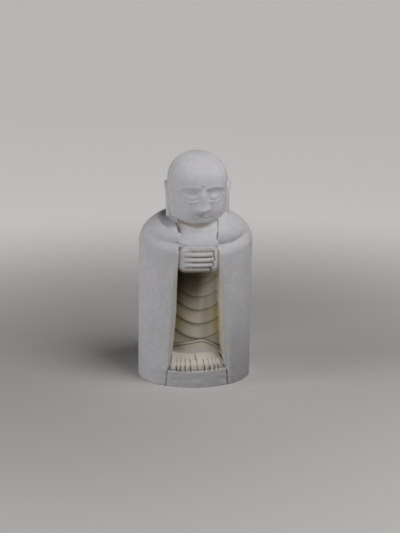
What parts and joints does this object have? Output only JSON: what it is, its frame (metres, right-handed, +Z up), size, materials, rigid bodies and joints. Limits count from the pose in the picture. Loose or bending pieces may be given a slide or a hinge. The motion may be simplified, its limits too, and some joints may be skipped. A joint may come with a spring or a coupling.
{
  "type": "stone jizo statue",
  "caption": "Small standing monk figure carved from one pale stone: a column robe with an open front, folded hands, bare feet on a step and a bald bowed head with long ears.",
  "frame": {"origin": "under the middle of the base, on the plane it stands on", "axes": "+Z up from base to crown; the figure faces -Y; +X to the right of a viewer in front of it"},
  "size_m": [0.1504, 0.136, 0.3],
  "materials": {
    "pale_stone": "matte, finely tooled"
  },
  "bodies": {
    "root": {"jizo_statue": "pale_stone"}
  },
  "joints": []
}
